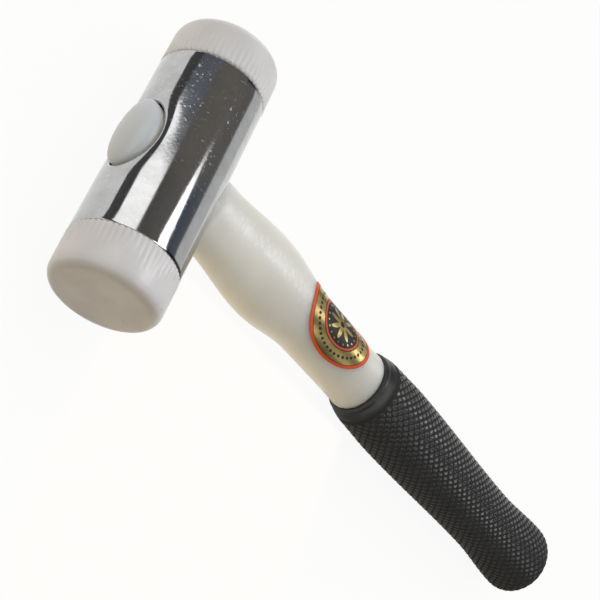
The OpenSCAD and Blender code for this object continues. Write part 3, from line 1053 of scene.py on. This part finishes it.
# %% [markdown]
# ## Floor
# The hammer lies on white paper. Seen by the camera or in a mirror, the paper is almost pure white, mixed
# from emission and a little of its lit surface, which keeps the shadow. To diffuse light it is a warm paper
# that also glows a little in warm light, a painted bounce, because the low sides of the real handle are
# warm.

# %% Lay the floor
bounce_glow_share = 0.2
seen_share = 0.73


def seen_directly(tree):
    """1 for rays from the camera, from a mirror or through glass, and 0 for diffuse light."""
    ray = tree.nodes.new("ShaderNodeLightPath").outputs
    return math_node(tree, "ADD", ray["Is Camera Ray"],
                     math_node(tree, "ADD", ray["Is Glossy Ray"], ray["Is Transmission Ray"]), clamp=True)


start_piece()
bpy.ops.mesh.primitive_plane_add(size=6)
floor = bpy.context.object
floor.name = floor.data.name = "floor"
paper, tree, shader, place = new_finish("white_paper", Base_Color=(0.9, 0.83, 0.7, 1), Roughness=0.9)
seen = seen_directly(tree)
# painted bounce: to diffuse light the paper also glows a little, in warm light
glow = add(tree, "ShaderNodeEmission", Strength=1.0)
tree.links.new(mix_colours(tree, seen, (1, 0.86, 0.64, 1), (1, 1, 1, 1)), glow.inputs["Color"])
blend = tree.nodes.new("ShaderNodeMixShader")
tree.links.new(math_node(tree, "MULTIPLY_ADD", seen, seen_share, bounce_glow_share), blend.inputs["Fac"])
tree.links.new(shader.outputs["BSDF"], blend.inputs[1])
tree.links.new(glow.outputs["Emission"], blend.inputs[2])
tree.links.new(blend.outputs["Shader"], tree.nodes["Material Output"].inputs["Surface"])
dress(floor, paper)
print("floor of", round(floor.dimensions.x, 1), "m")

# %% [markdown]
# ## Soft light from one side
# The photograph was lit softly from above and behind the head. The world does this alone: it is bright
# towards one direction and dim on the other side, and plain white where it is seen. That gives the
# milky plastic its slow shading without any hard shadow.

# %% Light the world
bright_from = Vector((0.25, 0.86, 0.46)).normalized()
world = bpy.data.worlds.new("studio")
bpy.context.scene.world = world
world.use_nodes = True
tree = world.node_tree
facing = add(tree, "ShaderNodeVectorMath", operation="DOT_PRODUCT")
facing.inputs[1].default_value = bright_from
tree.links.new(tree.nodes.new("ShaderNodeTexCoord").outputs["Generated"], facing.inputs[0])
share = stretch(tree, facing.outputs["Value"], -0.5, 0.9)
room = mix_colours(tree, share, (0.19, 0.18, 0.165, 1), (1.22, 1.26, 1.31, 1))
tone = mix_colours(tree, seen_directly(tree), room, (1, 1, 1, 1))
tree.links.new(tone, tree.nodes["Background"].inputs["Color"])
print("brightest towards", [round(c, 2) for c in bright_from])

# %% [markdown]
# ## Highlights
# The gloss on rubber, nylon and plastic comes from small lamps. Each of them adds no diffuse light, so
# colours stay as they are written, and light linking lets it shine on one or two pieces only, so that no
# lamp leaves a blot on the chrome.

# %% Hang the lamps
head_at = lying @ Vector((0, 0, 0))


def hang(name, centre, target, width, length, radiance):
    """An area light that faces a target, with its length along Y as nearly as it can be."""
    lamp = bpy.data.objects.new(name, bpy.data.lights.new(name, "AREA"))
    bpy.context.scene.collection.objects.link(lamp)
    lamp.data.shape = "RECTANGLE"
    lamp.data.size = width
    lamp.data.size_y = length
    lamp.data.energy = radiance * math.pi * width * length
    back = (Vector(centre) - Vector(target)).normalized()
    side = Vector((0, 1, 0)).cross(back).normalized()
    turned = Matrix((side, back.cross(side), back)).transposed().to_4x4()
    lamp.matrix_world = Matrix.Translation(centre) @ turned
    lamp.visible_camera = lamp.visible_diffuse = False
    return lamp


def round_head(angle, distance, y):
    """A place at an angle from straight up towards the left of the head, at a distance from its axis."""
    a = math.radians(angle)
    return Vector((head_at.x - distance * math.sin(a), y, head_at.z + distance * math.cos(a)))


grip_light = hang("grip_light", lying @ Vector((0.66, -0.14, 0.39)), lying @ Vector((0.19, 0, 0)),
                  0.16, 0.2, 4.6)
collar_light = hang("collar_light", lying @ Vector((0.56, 0.24, 0.39)), lying @ Vector((0.13, 0, 0)),
                    0.12, 0.14, 6.4)
handle_light = hang("handle_light", round_head(-38, 0.7, 0.4), lying @ Vector((0.05, 0, 0)), 0.27, 0.17, 8.0)
face_light = hang("face_light", round_head(-20, 0.7, 0.33), head_at + Vector((0, -0.045, 0.02)),
                  0.24, 0.12, 7.0)
for lamp, pieces in ((grip_light, (grip, label)), (collar_light, (grip, label)),
                     (handle_light, (handle,)), (face_light, (front, rear))):
    lit = bpy.data.collections.new("lit_by_" + lamp.name)
    for piece in pieces:
        lit.objects.link(piece)
    lamp.light_linking.receiver_collection = lit
    print(lamp.name, "shines on", ", ".join(piece.name for piece in pieces))

# %% [markdown]
# ## What the chrome reflects
# Chrome is only as good as what it mirrors. A photographer would set up bright and dark cards round the
# head. Here one arched screen stands round it, which only reflections see, and its UV map runs round the
# head and along it, so that the cards can be painted on it in one material.

# %% Stand the screen round the head
screen_r = 0.8
screen_from = -125
screen_to = 98
screen_span = screen_to - screen_from
screen_y = (-1.6, 1.6)
screen_len = screen_y[1] - screen_y[0]


def round_screen(angle):
    """The share of the way round the screen at an angle."""
    return (angle - screen_from) / screen_span


def along_screen(y):
    """The share of the way along the screen at a place on Y."""
    return (y - screen_y[0]) / screen_len


start_piece()
screen = draw_outline([round_head(screen_from, screen_r, y) for y in screen_y])
screen.name = screen.data.name = "reflected_screen"
bpy.ops.mesh.select_all(action="SELECT")
bpy.ops.mesh.spin(steps=60, angle=math.radians(screen_span), center=head_at, axis=(0, 1, 0))
bpy.ops.object.mode_set(mode="OBJECT")
plan = screen.data.uv_layers[0] if screen.data.uv_layers else screen.data.uv_layers.new(name="plan")
for loop in screen.data.loops:
    co = screen.data.vertices[loop.vertex_index].co
    angle = math.degrees(math.atan2(head_at.x - co.x, co.z - head_at.z))
    plan.data[loop.index].uv = (round_screen(angle), along_screen(co.y))
screen.visible_camera = screen.visible_diffuse = False
screen.visible_shadow = screen.visible_transmission = False
print("screen of", len(screen.data.polygons), "faces")

# %% [markdown]
# ## Sheets on the table
# Three sheets lie on the floor. Two dark ones are seen by reflections only: one on the left of the head, for
# the dark line in the chrome, and one along the grip, a painted shadow that only reflections see, so that
# the underside of the rubber stays dark. The third is a warm, bright one in front of the handle. Only
# diffuse light sees it, and it lifts the handle's low side.

# %% Lay the sheets
dark_from = 0.14
dark_to = 0.8
shade_run = 0.35


def lay_sheet(name, centre, size, colour, strength):
    """A glowing sheet that the camera doesn't see."""
    start_piece()
    bpy.ops.mesh.primitive_plane_add(size=1)
    sheet = name_piece(name)
    bpy.ops.transform.resize(value=(*size, 1))
    bpy.ops.transform.translate(value=centre)
    bpy.ops.object.mode_set(mode="OBJECT")
    material = bpy.data.materials.new(name + "_tone")
    material.use_nodes = True
    tree = material.node_tree
    glow = add(tree, "ShaderNodeEmission", Color=colour, Strength=strength)
    tree.links.new(glow.outputs["Emission"], tree.nodes["Material Output"].inputs["Surface"])
    dress(sheet, material)
    sheet.visible_camera = sheet.visible_shadow = sheet.visible_transmission = False
    print(name, [round(side, 2) for side in size], "m")
    return sheet


table = lay_sheet("reflected_table", (head_at.x - (dark_from + dark_to) / 2, sum(screen_y) / 2, MM),
                  (dark_to - dark_from, screen_len), (0.085, 0.085, 0.088, 1), 1.0)
# painted shadow: a dark sheet along the grip that only reflections see
under = lay_sheet("reflected_shadow", ((shoulder_x + butt_x + shade_run) / 2 + head_at.x, -0.185, 0.5 * MM),
                  (butt_x - shoulder_x + shade_run, 0.43), (0.3, 0.29, 0.27, 1), 1.0)
table.visible_diffuse = under.visible_diffuse = False
bounce = lay_sheet("bounce_sheet", (head_at.x + 0.08, -0.09, 0.7 * MM), (0.12, 0.16),
                   (1, 0.87, 0.64, 1), 0.95)
bounce.visible_glossy = False

# %% [markdown]
# ## Painting the screen
# Round the head the photograph shows, from left to right: pale paper, a dark line, a white band, brown-grey,
# a white streak, navy and grey. These are stops of a colour ramp round the screen. Towards the rear face the
# white band ends in dark blue, so there are two ramps, mixed along the screen by a slanted edge.
# A ramp holds values up to 1, so all its colours are divided by the brightest one, and the strength of the
# emission puts it back.

# %% Paint the bands on the screen
screen_paint, tree, shader, place = new_finish("screen_paint")
tree.nodes.remove(shader)
spot = parts_of(tree, place["UV"])
brightest = 3.0
band_from = 37
band_to = 79
band_slant = 0.066
band_end = (0.545, 0.575)


def bands_of(stops):
    """A colour ramp from stops round the head, each an angle and how bright its three colours are."""
    ramp = tree.nodes.new("ShaderNodeValToRGB")
    while len(ramp.color_ramp.elements) < len(stops):
        ramp.color_ramp.elements.new(1.0)
    for element, (angle, colour) in zip(ramp.color_ramp.elements, stops):
        element.position = round_screen(angle)
        element.color = (*(c / brightest for c in colour), 1)
    tree.links.new(spot["X"], ramp.inputs["Fac"])
    return ramp.outputs["Color"]


near_bands = bands_of([(-125, (0.8, 0.81, 0.81)), (-110, (0.7, 0.71, 0.71)), (-59, (0.66, 0.67, 0.67)),
                       (-54, (0.13, 0.14, 0.155)), (-34, (0.085, 0.105, 0.14)), (-25, (0.09, 0.12, 0.18)),
                       (-9, (0.16, 0.15, 0.14)), (35, (0.112, 0.105, 0.1)), (37.5, (1.75, 1.75, 1.73)),
                       (79, (1.7, 1.7, 1.7)), (81.5, (0.07, 0.07, 0.073)), (97, (0.088, 0.088, 0.09))])
far_bands = bands_of([(-125, (0.76, 0.77, 0.77)), (-110, (0.68, 0.69, 0.69)), (-59, (0.66, 0.67, 0.67)),
                      (-54, (0.16, 0.155, 0.15)), (10, (0.18, 0.164, 0.145)), (35, (0.16, 0.15, 0.14)),
                      (42, (0.15, 0.165, 0.19)), (79, (0.13, 0.145, 0.17)), (81.5, (0.07, 0.07, 0.073)),
                      (97, (0.088, 0.088, 0.09))])
slant = stretch(tree, spot["X"], round_screen(band_from), round_screen(band_to),
                band_slant / screen_len, 0.0)
past_band = stretch(tree, math_node(tree, "ADD", spot["Y"], slant), *(along_screen(y) for y in band_end))
bands = mix_colours(tree, past_band, near_bands, far_bands)
print("bands end", band_end, "m along the head's axis")

# %% [markdown]
# ## Window and streak
# Low on the right, the screen is bright only behind a stretch of the head, as a window would be, and dims
# beyond it. Over the head itself it stays at full level. The white streak is a wedge that narrows and fades
# towards the rear face: a distance from its middle line, compared with a width that shrinks along Y.

# %% Paint the window and the streak of light
window_stops = ((0.26, 0.12), (0.32, 1), (0.72, 1), (0.78, 0.12))
window_to = -28
streak_at = -18
streak_near = (0.415, 10.8)
streak_far = (0.524, 3.6)
streak_soft = 2.2
streak_fade = (0.475, 0.54)
window = tree.nodes.new("ShaderNodeValToRGB")
for y, level in window_stops[1:3]:
    window.color_ramp.elements.new(along_screen(y))
for element, (y, level) in zip(window.color_ramp.elements, window_stops):
    element.position = along_screen(y)
    element.color = (level, level, level, 1)
tree.links.new(spot["Y"], window.inputs["Fac"])
over_head = math_node(tree, "GREATER_THAN", spot["X"], round_screen(window_to))
dimming = math_node(tree, "MAXIMUM", window.outputs["Color"], over_head)
dimmed = mix_colours(tree, 1.0, bands, dimming, "MULTIPLY")
off = math_node(tree, "ABSOLUTE", math_node(tree, "SUBTRACT", spot["X"], round_screen(streak_at)))
wide = stretch(tree, spot["Y"], along_screen(streak_near[0]), along_screen(streak_far[0]),
               streak_near[1] / screen_span, streak_far[1] / screen_span)
inside = math_node(tree, "SUBTRACT", wide, off)
wedge = math_node(tree, "DIVIDE", inside, streak_soft / screen_span, clamp=True)
faded = stretch(tree, spot["Y"], *(along_screen(y) for y in streak_fade))
streak = math_node(tree, "MULTIPLY", wedge, math_node(tree, "SUBTRACT", 1.0, faded))
glow = add(tree, "ShaderNodeEmission", Strength=brightest)
tree.links.new(mix_colours(tree, streak, dimmed, (1, 1, 1, 1)), glow.inputs["Color"])
tree.links.new(glow.outputs["Emission"], tree.nodes["Material Output"].inputs["Surface"])
dress(screen, screen_paint)
print("screen paint has", len(tree.nodes), "nodes")

# %% [markdown]
# ## Finish
# Standard view shows each colour as it was written.

# %% Finish
bpy.context.scene.view_settings.view_transform = "Standard"
